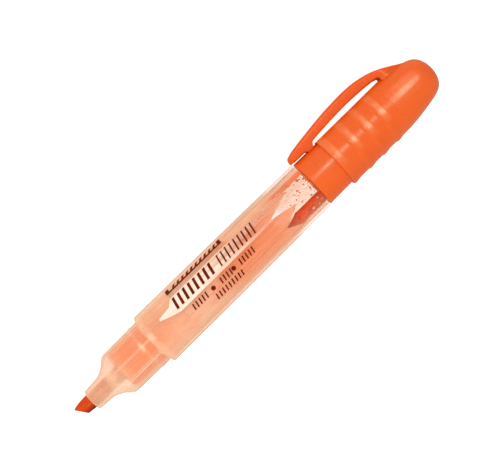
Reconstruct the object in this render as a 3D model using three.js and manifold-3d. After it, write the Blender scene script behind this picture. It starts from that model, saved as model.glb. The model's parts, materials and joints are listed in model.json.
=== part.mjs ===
// A jumbo chisel-tip highlighter with its cap posted on the tail. Millimetres, +Z up.
// Pieces are drawn in the pen's own frame: the axis is X, the nib's tip is at x = 0 and the clip
// is on the +Y side. The last lines lay the pen on the ground, resting on its barrel, cap and clip.
import * as THREE from "three";
import { mergeVertices } from "three/addons/utils/BufferGeometryUtils.js";
import Module from "manifold-3d";

const wasm = await Module();
wasm.setup();

// Driving dimensions. Stations are distances behind the nib's tip along the axis.
const SIDES = 40; // facets round each turned piece
const BREATHER_SIDES = 12;
const GAP = 0.3; // clearance between separate pieces
const OVER = 1; // how far a cutting shape runs past the faces that it cuts

const holderFront = 5.8;
const holderFrontRadius = 3.45;
const holderRear = 12.2;
const holderRadius = 3.85;
const coneRear = 17.3;
const sectionRadius = 7.8;
const sectionBore = 6.95;
const beadStation = 29.4;
const beadHeight = 0.16;
const spigotRear = 46;

const barrelFront = 32.85;
const barrelRear = 101.2;
const barrelFrontRadius = 9.15;
const barrelRearRadius = 8.7;
const barrelWall = 0.9;

const nibHeight = 5.0;
const nibDepth = 4.0;
const nibCorner = 0.8;
const channelGap = 0.2; // between the nib and its holder
const nibRear = 30;
const nibEdgeLow = new THREE.Vector2(2.7, -2.1);
const nibEdgeHigh = new THREE.Vector2(0, 1.8);

const coreFront = 19.6;
const coreRear = 84;
const coreRadius = 6.55;
const filmFront = 47;
const filmRadius = 7.55;
const filmWall = 0.25;
const filmValley = 85.3;
const filmTip = 92.8;
const filmTeeth = 8;
const breatherFront = 18.6;
const breatherRear = 88;
const breatherRadius = 0.65;
const breatherBore = 0.35;
const breatherOffset = 5.85;
const breatherAngle = -0.78; // radians round the axis, from +Z towards +Y

const plugFront = 100.2; // a short collar, which leaves the barrel clear to its end
const plugSkirtRadius = 7.3;
const postRadius = 8.25;
const postEndRadius = 7.9;
const postRear = 124.2;
const plugWall = 1.1;

const capMouth = 110.4;
const capTop = 152;
const capRadius = 8.9;
const rimRadius = 9.1;
const ribHeight = 0.3;
const ribCrests = [117.9, 123.8, 129.7]; // each rib's highest stretch, at its middle
const capBore = 8.5;
const capWall = 1.1;

const linerMouth = 128.9;
const linerRear = 146.2;
const linerRadius = 5.4;
const linerWall = 0.8;
const linerFlange = 8.0;

const clipWidth = 7.6;
const clipTipWidth = 6.4;
const clipEndWidth = 3;
const clipEdge = 0.6; // rounding of the clip's long edges
const clipFree = 100.3;
const clipPeakStation = 126.2;
const clipPeak = 13.8;
const clipRoot = 139.2; // where the flexing clip joins the part that is fixed to the cap

// Booleans

function toManifold(geometry) {
  const bare = geometry.clone();
  bare.deleteAttribute("normal");
  bare.deleteAttribute("uv");
  const merged = mergeVertices(bare, 1e-5);
  return new wasm.Manifold(new wasm.Mesh({
    numProp: 3,
    vertProperties: new Float32Array(merged.attributes.position.array),
    triVerts: new Uint32Array(merged.index.array),
  }));
}

function toGeometry(solid) {
  const mesh = solid.getMesh();
  const geometry = new THREE.BufferGeometry();
  geometry.setAttribute("position", new THREE.BufferAttribute(mesh.vertProperties, 3));
  geometry.setIndex(new THREE.BufferAttribute(mesh.triVerts, 1));
  return geometry;
}

// Shapes

// Turns an outline of [station, radius] points round the pen's axis. The outline runs along the
// outer surface from the nib's end to the rear. One with a bore then comes back along it.
function turned(outline, sides = SIDES) {
  const points = outline.map(([station, radius]) => new THREE.Vector2(radius, station));
  const geometry = new THREE.LatheGeometry(points, sides);
  geometry.rotateZ(-Math.PI / 2);
  return toGeometry(toManifold(geometry));
}

// Extrudes an outline drawn in the clip's plane, centred on that plane.
function slab(shape, depth, edge = 0) {
  const geometry = new THREE.ExtrudeGeometry(shape, {
    depth: depth - 2 * edge,
    bevelEnabled: edge > 0,
    bevelSize: edge,
    bevelThickness: edge,
    bevelOffset: -edge,
    bevelSegments: 2,
    curveSegments: 3,
  });
  geometry.translate(0, 0, edge - depth / 2);
  return geometry;
}

function roundedRectangle(width, height, corner) {
  const w = width / 2;
  const h = height / 2;
  const shape = new THREE.Shape();
  shape.moveTo(-w + corner, -h);
  shape.lineTo(w - corner, -h);
  shape.absarc(w - corner, -h + corner, corner, -Math.PI / 2, 0);
  shape.lineTo(w, h - corner);
  shape.absarc(w - corner, h - corner, corner, 0, Math.PI / 2);
  shape.lineTo(-w + corner, h);
  shape.absarc(-w + corner, h - corner, corner, Math.PI / 2, Math.PI);
  shape.lineTo(-w, -h + corner);
  shape.absarc(-w + corner, -h + corner, corner, Math.PI, 1.5 * Math.PI);
  return shape;
}

// A bar of the nib's section along the axis, grown by a clearance all round.
function nibBar(from, to, clearance) {
  const width = nibDepth + 2 * clearance;
  const height = nibHeight + 2 * clearance;
  const section = roundedRectangle(width, height, nibCorner + clearance);
  const settings = { depth: to - from, bevelEnabled: false, curveSegments: 4 };
  const bar = new THREE.ExtrudeGeometry(section, settings);
  bar.rotateY(Math.PI / 2);
  bar.translate(from, 0, 0);
  return bar;
}

// Pen body

function barrel() {
  const chamfer = 0.45;
  return turned([
    [barrelFront, barrelFrontRadius - barrelWall],
    [barrelFront, barrelFrontRadius - chamfer],
    [barrelFront + chamfer, barrelFrontRadius],
    [barrelRear - chamfer, barrelRearRadius],
    [barrelRear, barrelRearRadius - chamfer],
    [barrelRear, barrelRearRadius - barrelWall],
    [barrelFront, barrelFrontRadius - barrelWall],
  ]);
}

function frontSection() {
  const body = toManifold(turned([
    [holderFront, 0],
    [holderFront, holderFrontRadius],
    [holderRear, holderRadius],
    [holderRear + 1.2, 4.35],
    [coneRear - 2.2, 5.35],
    [coneRear, 7.35],
    [coneRear + 0.9, sectionRadius - 0.12],
    [beadStation - 0.8, sectionRadius - 0.03],
    [beadStation, sectionRadius + beadHeight],
    [beadStation + 0.8, sectionRadius],
    [spigotRear, sectionRadius],
    [spigotRear, 0],
  ]));
  const bore = toManifold(turned([
    [coneRear - 1.6, 0],
    [coneRear - 1.6, 4.2],
    [coneRear + 0.4, 6.3],
    [coneRear + 1.8, sectionBore],
    [spigotRear + OVER, sectionBore],
    [spigotRear + OVER, 0],
  ]));
  const channel = toManifold(nibBar(holderFront - OVER, coneRear + OVER, channelGap));
  return toGeometry(body.subtract(bore).subtract(channel));
}

// The nib is a bar whose front is cut to a slanted edge and sharpened to a wedge along that edge.
function chiselNib() {
  const bar = toManifold(nibBar(-OVER, nibRear, 0));
  const side = new THREE.Shape();
  side.moveTo(nibEdgeHigh.x, nibEdgeHigh.y);
  side.lineTo(nibEdgeLow.x, nibEdgeLow.y);
  side.lineTo(holderFront, -nibHeight / 2);
  side.lineTo(nibRear + OVER, -nibHeight / 2 - OVER);
  side.lineTo(nibRear + OVER, nibHeight / 2 + OVER);
  side.lineTo(holderFront, nibHeight / 2);
  side.quadraticCurveTo(2.6, nibHeight / 2 - 0.05, nibEdgeHigh.x, nibEdgeHigh.y);
  const profile = toManifold(slab(side, nibDepth + OVER));

  const edgeDepth = 1.3;
  const wedgeLength = 4.2;
  const wedge = new THREE.Shape();
  wedge.moveTo(-0.1, -edgeDepth / 2);
  wedge.lineTo(wedgeLength, -nibDepth / 2 - 0.1);
  wedge.lineTo(2 * nibRear, -nibDepth / 2 - 0.1);
  wedge.lineTo(2 * nibRear, nibDepth / 2 + 0.1);
  wedge.lineTo(wedgeLength, nibDepth / 2 + 0.1);
  wedge.lineTo(-0.1, edgeDepth / 2);
  const blade = new THREE.ExtrudeGeometry(wedge, { depth: 2 * nibRear, bevelEnabled: false });
  blade.translate(0, 0, -nibRear);
  blade.rotateX(-Math.PI / 2);
  const slant = nibEdgeHigh.clone().sub(nibEdgeLow);
  blade.rotateZ(Math.atan2(slant.y, slant.x) - Math.PI / 2);
  const middle = nibEdgeHigh.clone().add(nibEdgeLow).multiplyScalar(0.5);
  blade.translate(middle.x, middle.y, 0);
  return toGeometry(bar.intersect(profile).intersect(toManifold(blade)));
}

// A closed ring from one station to another, for tubes of constant bore.
function ring(from, to, outer, inner, sides = SIDES) {
  return turned([[from, inner], [from, outer], [to, outer], [to, inner], [from, inner]], sides);
}

// Moves a shape from the pen's axis to where the breather tube lies.
function placeBreather(geometry) {
  const side = breatherOffset * Math.sin(breatherAngle);
  const up = breatherOffset * Math.cos(breatherAngle);
  return geometry.translate(0, side, up);
}

function reservoirCore() {
  const rod = toManifold(turned([
    [coreFront, 0],
    [coreFront, coreRadius - 0.4],
    [coreFront + 0.4, coreRadius],
    [coreRear - 0.4, coreRadius],
    [coreRear, coreRadius - 0.4],
    [coreRear, 0],
  ]));
  const nibSeat = toManifold(nibBar(coreFront - OVER, nibRear + GAP, GAP));
  const groove = toManifold(placeBreather(turned([
    [coreFront - OVER, 0],
    [coreFront - OVER, breatherRadius + GAP],
    [coreRear + OVER, breatherRadius + GAP],
    [coreRear + OVER, 0],
  ], BREATHER_SIDES)));
  return toGeometry(rod.subtract(nibSeat).subtract(groove));
}

function breatherTube() {
  const tube = ring(breatherFront, breatherRear, breatherRadius, breatherBore, BREATHER_SIDES);
  return placeBreather(tube);
}

// The wrap's rear edge is pinked: the ring's rear corners move to a triangle wave round the axis.
function reservoirFilm() {
  const film = ring(filmFront, filmTip, filmRadius, filmRadius - filmWall, filmTeeth * 4);
  const position = film.attributes.position;
  for (let i = 0; i < position.count; i += 1) {
    if (position.getX(i) > filmTip - 0.01) {
      const turn = Math.atan2(position.getY(i), position.getZ(i)) / (2 * Math.PI) + 1;
      const phase = (turn * filmTeeth) % 1;
      const height = Math.abs(2 * phase - 1);
      position.setX(i, filmValley + (filmTip - filmValley) * height);
    }
  }
  return film;
}

function tailPlug() {
  const shoulder = barrelRear + GAP;
  return turned([
    [postRear - plugWall, 0],
    [postRear - plugWall, postEndRadius - plugWall - 0.6],
    [shoulder + 1, plugSkirtRadius - plugWall],
    [plugFront, plugSkirtRadius - plugWall],
    [plugFront, plugSkirtRadius - 0.3],
    [plugFront + 0.8, plugSkirtRadius],
    [shoulder, plugSkirtRadius],
    [shoulder, postRadius - 0.15],
    [shoulder + 0.25, postRadius],
    [postRear - 0.8, postEndRadius],
    [postRear - 0.2, postEndRadius - 0.45],
    [postRear, postEndRadius - 1.1],
    [postRear, 0],
  ]);
}

// Cap

// The dome's outer outline behind the ribs, as [station, radius], then its top on the axis.
const domeOutline = [
  [134.5, 8.85],
  [138, 8.55],
  [141, 8.17],
  [144, 7.7],
  [146.8, 7.15],
  [148.6, 6.55],
  [149.9, 5.75],
  [150.9, 4.6],
  [151.6, 3.1],
  [151.9, 1.6],
  [capTop, 0],
];

// The rim, then the ribs, which rise faster on the mouth's side than they fall towards the dome.
function ribOutline() {
  const halfCrest = 0.7;
  const rise = 1;
  const fall = 1.7;
  const points = [
    [capMouth, rimRadius - 0.15],
    [capMouth + 0.15, rimRadius],
    [capMouth + 1.6, rimRadius],
    [capMouth + 3.6, capRadius],
  ];
  for (const crest of ribCrests) {
    points.push([crest - halfCrest - rise, capRadius]);
    points.push([crest - halfCrest, capRadius + ribHeight]);
    points.push([crest + halfCrest, capRadius + ribHeight]);
    points.push([crest + halfCrest + fall, capRadius]);
  }
  return points;
}

// The clip's outer edge from its free end to where it meets the dome, and its inner edge back.
const clipOuter = [
  [101.3, 10.85],
  [105, 11.9],
  [110, 12.6],
  [115.5, 13.25],
  [121, 13.65],
  [clipPeakStation, clipPeak],
  [130, 13.65],
  [133.5, 13.15],
  [136.8, 12.3],
  [140, 11.05],
  [143.4, 9.2],
  [145.8, 7.8],
  [147.6, 6.85],
];
const clipInner = [
  [137.9, 9.35],
  [135, 9.8],
  [130, 10.15],
  [125, 10.25],
  [119, 10.05],
  [114, 9.75],
  [110.5, 9.45],
];

function clipShape() {
  const shape = new THREE.Shape();
  shape.moveTo(clipFree + 1.3, 8.75);
  shape.quadraticCurveTo(clipFree, 8.9, clipFree, 9.7);
  shape.quadraticCurveTo(clipFree, 10.5, ...clipOuter[0]);
  shape.splineThru(clipOuter.slice(1).map(([x, y]) => new THREE.Vector2(x, y)));
  shape.lineTo(clipOuter.at(-1)[0], 4);
  shape.lineTo(clipRoot, 4);
  shape.lineTo(clipRoot, 9.1);
  shape.lineTo(...clipInner[0]);
  shape.splineThru(clipInner.slice(1).map(([x, y]) => new THREE.Vector2(x, y)));
  shape.lineTo(109.1, 8.45);
  shape.lineTo(106.9, 8.45);
  shape.lineTo(106.5, 8.7);
  shape.closePath();
  return shape;
}

// The clip widens from its free end to its root, then narrows to a point on the dome.
function clipWidthAt(station) {
  if (station < clipRoot) {
    return THREE.MathUtils.mapLinear(station, clipFree, clipRoot, clipTipWidth, clipWidth);
  }
  return THREE.MathUtils.mapLinear(station, clipRoot, clipOuter.at(-1)[0], clipWidth, clipEndWidth);
}

// The whole clip with its root, narrowing towards its free end.
function wholeClip() {
  const geometry = slab(clipShape(), clipWidth, clipEdge);
  const position = geometry.attributes.position;
  for (let i = 0; i < position.count; i += 1) {
    position.setZ(i, position.getZ(i) * clipWidthAt(position.getX(i)) / clipWidth);
  }
  return toManifold(geometry);
}

// A block that covers the clip from one station to another.
function clipSpan(from, to) {
  const block = new THREE.BoxGeometry(to - from, 30, 30);
  block.translate((from + to) / 2, 0, 0);
  return toManifold(block);
}

function capShell() {
  const outside = toManifold(turned([[capMouth, 0], ...ribOutline(), ...domeOutline]));
  const root = wholeClip().intersect(clipSpan(clipRoot + GAP / 2, capTop));
  const inside = domeOutline.slice(0, -2)
    .map(([station, radius]) => [station - 0.6 * capWall, radius - capWall]);
  const bore = toManifold(turned([
    [capMouth - OVER, 0],
    [capMouth - OVER, capBore],
    [linerMouth + 2.4, capBore - 0.2],
    [linerMouth + 2.8, inside[0][1]],
    ...inside,
    [inside.at(-1)[0] + 0.1, 0],
  ]));
  return toGeometry(outside.add(root).subtract(bore));
}

function capClip() {
  return toGeometry(wholeClip().intersect(clipSpan(90, clipRoot - GAP / 2)));
}

function capInnerLiner() {
  const bore = linerRadius - linerWall;
  return turned([
    [linerRear - linerWall, 0],
    [linerRear - linerWall, bore],
    [linerMouth + 1.4, bore],
    [linerMouth, bore + 1],
    [linerMouth, linerFlange],
    [linerMouth + 1.2, linerFlange],
    [linerMouth + 1.6, linerRadius],
    [linerRear - 0.6, linerRadius],
    [linerRear, linerRadius - 0.6],
    [linerRear, 0],
  ]);
}

// Assembly

const orange = { color: "#f0622b", roughness: 0.32 };
const clearPeach = { color: "#f9b493", roughness: 0.2, transparent: true, opacity: 0.45 };
const paleFilm = { color: "#f8c3a5", roughness: 0.3, transparent: true, opacity: 0.4 };

const pieces = [
  ["barrel", barrel(), clearPeach],
  ["front_section", frontSection(), clearPeach],
  ["chisel_nib", chiselNib(), { color: "#e8521f", roughness: 0.85 }],
  ["reservoir_core", reservoirCore(), { color: "#f08a5c", roughness: 0.9 }],
  ["reservoir_film", reservoirFilm(), paleFilm],
  ["breather_tube", breatherTube(), { color: "#fbe3d6", roughness: 0.4 }],
  ["tail_plug", tailPlug(), orange],
  ["cap_shell", capShell(), orange],
  ["cap_clip", capClip(), orange],
  ["cap_inner_liner", capInnerLiner(), { color: "#f4efe9", roughness: 0.5 }],
];

const pen = new THREE.Group();
for (const [name, geometry, looks] of pieces) {
  const mesh = new THREE.Mesh(geometry, new THREE.MeshStandardMaterial({ metalness: 0, ...looks }));
  mesh.name = name;
  pen.add(mesh);
}

// The pen rolls about its axis until the clip's lower long edge is level with the barrel's belly.
const edgeOut = clipPeak - clipEdge;
const edgeSide = clipWidthAt(clipPeakStation) / 2 - clipEdge;
const roll = Math.asin((barrelFrontRadius - clipEdge) / Math.hypot(edgeOut, edgeSide))
  - Math.atan2(edgeSide, edgeOut);
pen.rotation.x = -roll;

const highlighter = new THREE.Group();
highlighter.add(pen);
const box = new THREE.Box3().setFromObject(highlighter, true);
const middle = box.getCenter(new THREE.Vector3());
pen.position.set(-middle.x, -middle.y, -box.min.z);

export default highlighter;
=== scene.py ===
"""A jumbo chisel-tip highlighter with its cap posted on the tail: its visible pieces and the studio.

Pieces are drawn in the pen's own frame, in millimetres: u is the distance behind the nib's tip
along the axis, y points from the axis to the clip and z is square to both. place() turns that
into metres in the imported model's frame, which it finds from that model's joints and boxes.
"""
import json
import math
import random
from collections import namedtuple

import bmesh
import bpy
from mathutils import Matrix, Vector


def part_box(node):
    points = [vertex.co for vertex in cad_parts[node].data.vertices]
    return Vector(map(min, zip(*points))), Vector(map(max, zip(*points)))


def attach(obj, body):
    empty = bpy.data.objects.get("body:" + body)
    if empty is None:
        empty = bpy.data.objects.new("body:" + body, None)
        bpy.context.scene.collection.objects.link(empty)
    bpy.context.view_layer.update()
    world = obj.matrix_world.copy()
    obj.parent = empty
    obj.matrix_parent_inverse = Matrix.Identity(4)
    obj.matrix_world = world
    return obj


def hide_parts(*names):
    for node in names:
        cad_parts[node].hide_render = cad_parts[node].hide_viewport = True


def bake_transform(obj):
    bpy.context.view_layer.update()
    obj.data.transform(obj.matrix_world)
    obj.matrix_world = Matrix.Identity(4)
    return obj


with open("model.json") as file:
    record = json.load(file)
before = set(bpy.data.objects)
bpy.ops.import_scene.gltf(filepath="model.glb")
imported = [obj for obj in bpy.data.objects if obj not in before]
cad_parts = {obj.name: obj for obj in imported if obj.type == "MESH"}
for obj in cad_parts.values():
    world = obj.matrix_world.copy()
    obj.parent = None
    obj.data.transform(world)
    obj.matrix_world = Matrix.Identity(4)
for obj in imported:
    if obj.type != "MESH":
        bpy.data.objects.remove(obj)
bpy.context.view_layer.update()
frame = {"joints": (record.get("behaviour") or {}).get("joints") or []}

MM = 0.001
WHOLE = 2 * math.pi
QUARTER = math.pi / 2
SIDES = 128  # facets round each turned piece
SHARP = math.radians(32)  # faces that meet at more than this show an edge
MERGE = 1e-7  # metres

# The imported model's frame.
joints = {joint["name"]: joint for joint in frame["joints"]}
AXIS = Vector((1, 0, 0))
OUTWARD = -Vector(joints["clip_flex"]["axis"])  # z: square to the clip's middle plane
CLIPWARD = OUTWARD.cross(AXIS)  # y: from the axis to the clip
ORIGIN = Vector(joints["cap_turn"]["pos_m"])
ORIGIN.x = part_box("chisel_nib")[0][0]

# Driving dimensions. Names that end in FRONT, REAR or MOUTH are stations along the axis.
HOLDER_FRONT = 6.2
SECTION_RADIUS = 7.8
SECTION_BORE = 6.95
SECTION_BORE_FRONT = 19.2
BEAD = 29.4  # the snap bead's crest
SPIGOT_RADIUS = 8.2
SPIGOT_REAR = 46

BARREL_FRONT = 32.85
BARREL_REAR = 100.85
BARREL_FRONT_RADIUS = 9.15
BARREL_REAR_RADIUS = 8.7
BARREL_WALL = 0.9

NIB_REAR = 30
NIB_HALF_HEIGHT = 2.5
NIB_HALF_DEPTH = 2.0
NIB_CORNER = 0.82
NIB_GAP = 0.06  # between the nib and its holder
EDGE_LOW = (2.7, -2.1)  # the ends of the writing edge, as (u, y)
EDGE_HIGH = (0.0, 1.8)
EDGE_HALF_DEPTH = 0.65

CORE_FRONT = 19.5
CORE_REAR = 84.1
CORE_RADIUS = 6.55
TUBE_FRONT = 19.3
TUBE_REAR = 88
TUBE_RADIUS = 0.65
TUBE_BORE = 0.35
TUBE_OFFSET = 6.1
TUBE_ANGLE = -0.68  # radians round the axis, from z towards the clip
FILM_RADIUS = 7.55
FILM_WALL = 0.2
FILM_FRONT = 45.7
FILM_PLAIN_REAR = 80  # the film is a plain sleeve as far as this
FILM_TIP = 93.1
FILM_CUT = [  # a valley, its station and the tip that follows, in degrees from z towards the clip
    (-35, 85.6, -6), (8, 83.8, 33), (58, 85.3, 76), (90, 85.3, 102),
    (122, 85.3, 147), (172, 84.2, 186), (215, 85.6, 245), (280, 85.3, 303),
]

POST_FRONT = BARREL_REAR + 0.05
POST_REAR = 124.2
POST_FRONT_RADIUS = 8.25
POST_REAR_RADIUS = 7.9
POST_BORE = 6.3

CAP_MOUTH = 110.4
CAP_RADIUS = 8.9
CAP_BORE = 8.2
CAP_WALL = 1.1
RIM_RADIUS = 9.17
RIB_HEIGHT = 0.3
RIB_CRESTS = (117.9, 123.8, 129.7)
DOME = [  # a station and the radius there
    (134.5, 8.85), (138, 8.55), (141, 8.17), (144, 7.7), (146.8, 7.15), (148.6, 6.55),
    (149.9, 5.75), (150.9, 4.6), (151.6, 3.1), (151.9, 1.6), (152, 0),
]

LINER_MOUTH = 128.9
LINER_REAR = 146.2
LINER_RADIUS = 5.4
LINER_BORE = 4.6
LINER_FLANGE = 8.0

CLIP_FREE = 100.35  # the station of its free end
CLIP_NOSE = 1.3  # length of the rounding there
CLIP_ROOT = 139.2
CLIP_REAR = 147.7
CLIP_WIDTH = 7.6
CLIP_TIP_WIDTH = 6.4
CLIP_END_WIDTH = 3.0
CLIP_EDGE = 0.7  # rounding of its long upper edges
CLIP_CROWN = 0.22
CLIP_FLAT = 8.42  # height of the flat that the cap has under its clip
SADDLE_RADIUS = 8.15  # the foot's hollow, which fits the post
SLIT_REAR = 138.05
CLIP_TOP = [  # a station and the height above the axis there
    (101.2, 11.0), (103, 11.55), (106.7, 12.15), (110.4, 12.62), (115, 13.15), (119.6, 13.55),
    (126.2, 13.8), (130.7, 13.6), (133.5, 13.15), (136.2, 12.5), (138.2, 11.8), (140.8, 10.6),
    (143.6, 9.1), (145.6, 7.9), (147.6, 6.85),
]
CLIP_UNDER = [  # the same
    (101.6, 8.75), (102.2, 8.55), (106.3, 8.5), (106.7, 8.25), (107.2, 8.22), (108.8, 8.2),
    (109.3, 8.5), (110, 9.25), (110.8, 9.48), (114, 9.75), (119, 10.05), (125, 10.25),
    (130, 10.15), (135, 9.8), (137, 9.5), (137.7, 9.3), (138, 9.1),
]

# Print and ink. A pair of lifts is how far a patch's two faces are above the surface under it.
PRINT_LIFTS = (0.002, 0.03)
FLASH_LIFTS = (0.0005, 0.002)
INK_LIFTS = (-0.08, -0.01)
RULE_ROW = (6.8, 7.25)  # each row's lower and upper height above the axis
BLOCK_ROW = (7.25, 8.15)
BAR_ROW = (7.25, 7.95)
BOLD_ROW = (1.55, 5.2)
LIGHT_ROW = (1.55, 5.15)
FLASH_ROW = (0.48, 5.5)
SMALL_ROW = (-2.4, -0.35)
LAST_ROW = (-5.0, -3.15)
RULE_FRONT = 45.6
RULE_LENGTH = 23
BLOCK_LENGTH = 1.3
INK_FRONT = 86.0
INK_REAR = 100.55
VEIL_FRONT = 84.0
LARGE_DROPS = [  # station, degrees from z towards the clip, radius
    (99.8, 24, 0.42), (98, 32, 0.48), (99.4, -1, 0.34), (98.1, -15, 0.3), (95.7, 13, 0.22),
]
BUBBLES = [(95.9, -44, 0.5), (98.9, -30, 0.3), (98.1, -47, 0.24), (93.6, -38, 0.16), (99.6, -40, 0.2)]


def place(u, y, z):
    """A point of the pen's frame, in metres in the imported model's."""
    return ORIGIN + AXIS * (u * MM) + CLIPWARD * (y * MM) + OUTWARD * (z * MM)


def polar(u, radius, angle):
    """A point at an angle round the axis, from z towards the clip."""
    return (u, radius * math.sin(angle), radius * math.cos(angle))


# Outlines


def rounded(corners, steps=5):
    """An outline whose corners that have a third number are rounded to that radius."""
    outline = []
    for index, corner in enumerate(corners):
        here = Vector(corner[:2])
        if len(corner) == 2:
            outline.append(tuple(here))
            continue
        radius = corner[2]
        back = (Vector(corners[index - 1][:2]) - here).normalized()
        ahead = (Vector(corners[(index + 1) % len(corners)][:2]) - here).normalized()
        half = back.angle(ahead) / 2
        centre = here + (back + ahead).normalized() * (radius / math.sin(half))
        start = here + back * (radius / math.tan(half)) - centre
        end = here + ahead * (radius / math.tan(half)) - centre
        sweep = start.angle(end)
        for step in range(steps + 1):
            share = step / steps
            turn = start * math.sin((1 - share) * sweep) + end * math.sin(share * sweep)
            outline.append(tuple(centre + turn / math.sin(sweep)))
    return outline


def spline(points, steps=5, last=None):
    """A smooth curve through points. last is a phantom point after the end."""
    points = [Vector(point) for point in points]
    before = points[0] * 2 - points[1]
    after = Vector(last) if last else points[-1] * 2 - points[-2]
    knots = [before, *points, after]
    curve = []
    for a, b, c, d in zip(knots, knots[1:], knots[2:], knots[3:]):
        for step in range(steps):
            t = step / steps
            point = 2 * b + (c - a) * t + (2 * a - 5 * b + 4 * c - d) * t * t
            point += (3 * b - a - 3 * c + d) * t * t * t
            curve.append(tuple(point / 2))
    curve.append(tuple(points[-1]))
    return curve


def dome_curve():
    """The cap's outline behind its ribs. It crosses the axis square, by a mirrored phantom point."""
    return spline(DOME, last=(DOME[-2][0], -DOME[-2][1]))


def reading(curve):
    """A function that reads a curve's height at a station."""
    def height(station):
        if station <= curve[0][0]:
            return curve[0][1]
        for (u0, h0), (u1, h1) in zip(curve, curve[1:]):
            if station <= u1:
                return h0 + (h1 - h0) * (station - u0) / (u1 - u0)
        return curve[-1][1]
    return height


def smooth(share):
    """From 0 to 1 with both ends eased."""
    share = min(max(share, 0), 1)
    return share * share * (3 - 2 * share)


def slope(share):
    """A straight slope from 0 to 1 with just its ends eased."""
    share = min(max(share, 0), 1)
    eased = share + 0.06 * math.sin(WHOLE * (share + 0.5))
    return min(max(eased, 0), 1)


def round_off(back, reach):
    """How far a rounded end is drawn in: 1 at its very front and 0 from reach mm behind that."""
    ahead = 1 - min(back / reach, 1)
    return 1 - math.sqrt(1 - ahead ** 2)


def stations(start, end, change, fine, coarse):
    """Stations from start to before end: fine mm apart as far as change, then coarse mm apart."""
    found = []
    u = start
    while u < end:
        found.append(u)
        u += fine if u < change else coarse
    return found


# Meshes


def loft(loops, closed):
    """Skins a row of loops. A loop of one point closes an end, and closed joins last to first."""
    points = [point for loop in loops for point in loop]
    starts = [sum(len(loop) for loop in loops[:index]) for index in range(len(loops))]
    faces = []
    rows = list(range(len(loops)))
    pairs = list(zip(rows, rows[1:]))
    if closed:
        pairs.append((rows[-1], rows[0]))
    for a, b in pairs:
        count = max(len(loops[a]), len(loops[b]))
        for k in range(count):
            m = (k + 1) % count
            corners = []
            for row, order in ((a, (k, m)), (b, (m, k))):
                if len(loops[row]) == 1:
                    corners.append(starts[row])
                else:
                    corners.extend(starts[row] + index for index in order)
            faces.append(corners)
    return points, faces


def joined(parts):
    """Several meshes as one."""
    points, faces = [], []
    for part_points, part_faces in parts:
        offset = len(points)
        points += part_points
        faces += [[offset + index for index in face] for face in part_faces]
    return points, faces


def circle(u, radius, sides=SIDES, y=0.0, z=0.0):
    """A loop round the axis, or round a line beside it. One of no size is a single point."""
    if radius < 1e-6:
        return [(u, y, z)]
    steps = [WHOLE * k / sides for k in range(sides)]
    return [(u, y + radius * math.sin(a), z + radius * math.cos(a)) for a in steps]


def bar_loop(u, half_height, half_depth, corner, lean=0.0):
    """A rounded rectangle across the pen, in step with circle(). lean moves its lower side back."""
    loop = []
    for k in range(SIDES):
        angle = WHOLE * k / SIDES
        side = 4 * k // SIDES
        y = (1 if side in (0, 1) else -1) * (half_height - corner) + corner * math.sin(angle)
        z = (1 if side in (0, 3) else -1) * (half_depth - corner) + corner * math.cos(angle)
        loop.append((u + lean * (half_height - y) / (2 * half_height), y, z))
    return loop


def centre_of(loop):
    return [sum(point[k] for point in loop) / len(loop) for k in range(3)]


def turned(outline):
    """A body of revolution. The outline ends on the axis at both ends, or is a closed loop."""
    closed = outline[0][1] > 1e-6
    return loft([circle(u, radius) for u, radius in outline], closed)


def make_object(name, mesh_data, material):
    points, faces = mesh_data
    mesh = bpy.data.meshes.new(name)
    mesh.from_pydata([place(*point) for point in points], [], faces)
    shaped = bmesh.new()
    shaped.from_mesh(mesh)
    bmesh.ops.remove_doubles(shaped, verts=shaped.verts, dist=MERGE)
    bmesh.ops.recalc_face_normals(shaped, faces=shaped.faces)
    for face in shaped.faces:
        face.smooth = True
    for edge in shaped.edges:
        edge.smooth = edge.calc_face_angle(0) < SHARP
    shaped.to_mesh(mesh)
    shaped.free()
    mesh.materials.append(material)
    made = bpy.data.objects.new(name, mesh)
    bpy.context.scene.collection.objects.link(made)
    return made


def make_piece(name, mesh_data, material, body="pen", node=None, clear=False):
    """A rigid piece. A clear one casts no shadow, so that light reaches what is inside it."""
    piece = make_object(name, mesh_data, material)
    piece.visible_shadow = not clear
    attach(piece, body)
    if node:
        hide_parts(node)


# Materials

# A Mix node's sockets for colours, whose names its other sockets share.
MIX_FIRST = 6
MIX_SECOND = 7
MIX_RESULT = 2


def linear(colour):
    """An sRGB colour of 0 to 255 as the linear colour that sockets take."""
    shares = [value / 255 for value in colour]
    powers = [s / 12.92 if s <= 0.04045 else ((s + 0.055) / 1.055) ** 2.4 for s in shares]
    return (*powers, 1.0)


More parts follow.
